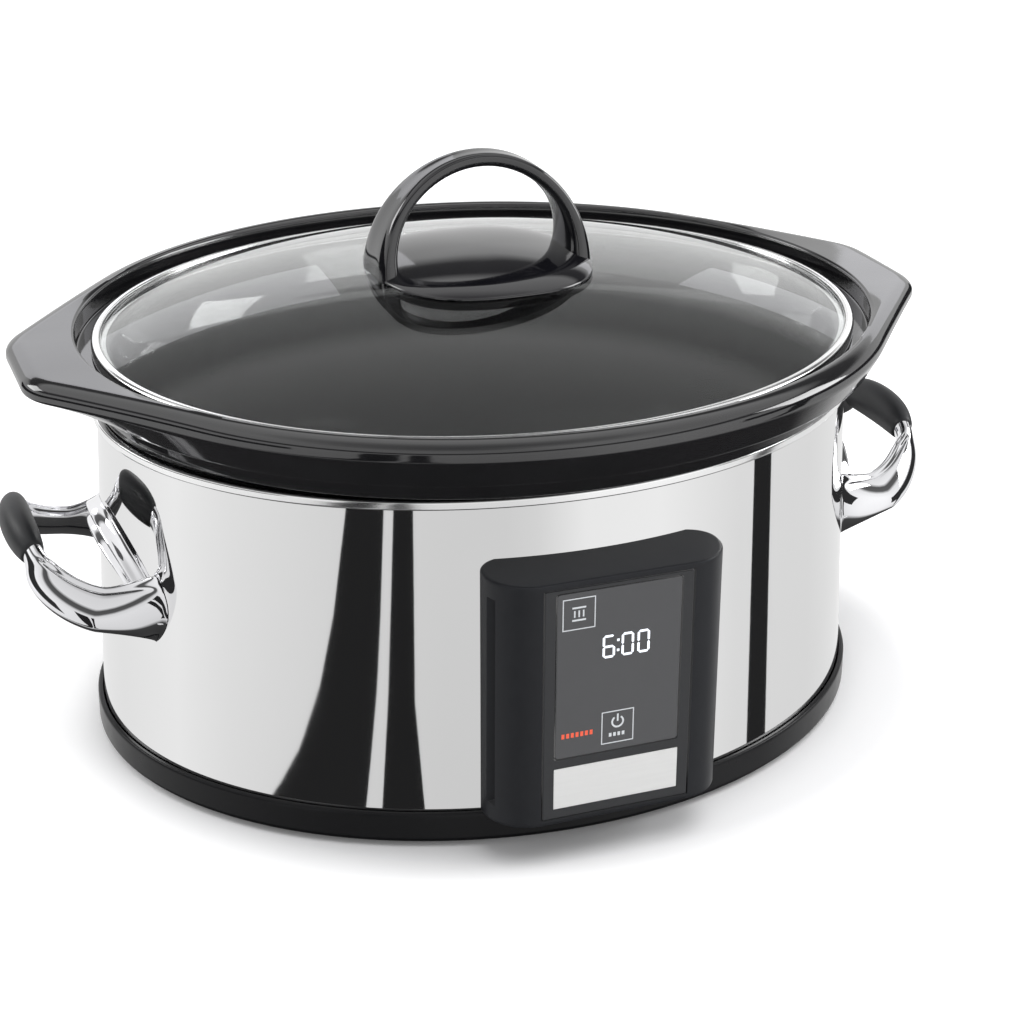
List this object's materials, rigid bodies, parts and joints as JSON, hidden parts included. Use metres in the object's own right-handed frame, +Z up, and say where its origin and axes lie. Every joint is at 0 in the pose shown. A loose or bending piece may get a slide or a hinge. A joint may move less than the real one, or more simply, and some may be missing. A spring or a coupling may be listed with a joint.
{
  "type": "slow cooker",
  "caption": "Oval electric slow cooker with steel-wrapped heating base, touch control panel, chrome side handles, lift-out glazed crock and domed glass lid with arched handle.",
  "frame": {"origin": "middle of the oval on the standing surface, under the rubber feet", "axes": "+X along the oval's length, -Y towards the control panel, +Z up"},
  "size_m": [0.4178, 0.322, 0.2475],
  "materials": {
    "black_plastic": "satin black moulding",
    "housing_plastic": "matte black moulding",
    "fascia_plastic": "dark grey satin panel",
    "mirror_steel": "mirror-polished stainless steel",
    "trim_steel": "polished",
    "liner_steel": "plain aluminised steel",
    "zinc_steel": "zinc plated",
    "mica": "mica laminate",
    "glass_wool": "glass-fibre blanket",
    "board": "green circuit board",
    "component": "moulded component",
    "window": "glossy dark display window",
    "plate_metal": "satin silver plate",
    "chrome": "bright chrome plating",
    "grip": "soft matte black",
    "rubber": "black",
    "glaze": "gloss black glaze",
    "glass": "clear tempered glass",
    "knob": "gloss black phenolic",
    "silicone": "translucent silicone"
  },
  "bodies": {
    "cooker": {"base_tray": "black_plastic", "rubber_feet": "rubber", "liner_posts": "zinc_steel", "base_screws": "zinc_steel", "outer_wrap_right": "mirror_steel", "outer_wrap_left": "mirror_steel", "top_trim_ring": "trim_steel", "liner": "liner_steel", "heater_band": "mica", "heater_strap": "zinc_steel", "insulation_blanket": "glass_wool", "temperature_sensor": "zinc_steel", "sensor_post": "black_plastic", "thermal_fuse": "zinc_steel", "terminal_block": "component", "cord_inlet_bush": "black_plastic", "control_housing": "housing_plastic", "housing_screws": "zinc_steel", "control_fascia": "fascia_plastic", "display_window": "window", "nameplate": "plate_metal", "display_module": "component", "touch_board": "board", "power_board": "board", "board_spacers": "black_plastic", "relay": "component", "mains_transformer": "component", "capacitor": "component", "buzzer": "component", "side_handle_right": "chrome", "handle_grip_right": "grip", "side_handle_left": "chrome", "handle_grip_left": "grip", "handle_plate_right": "chrome", "handle_plate_left": "chrome", "handle_screws": "zinc_steel"},
    "crock": {"crock": "glaze"},
    "lid": {"lid_glass": "glass", "lid_rim": "trim_steel", "lid_handle": "knob", "lid_washer": "silicone", "lid_handle_screw": "zinc_steel"}
  },
  "joints": [
    {"name": "crock_lift", "type": "slide", "parent": "cooker", "child": "crock", "axis": [0, 0, 1], "range_m": [0, 0.2]},
    {"name": "lid_lift", "type": "slide", "parent": "crock", "child": "lid", "axis": [0, 0, 1], "range_m": [0, 0.15]}
  ]
}
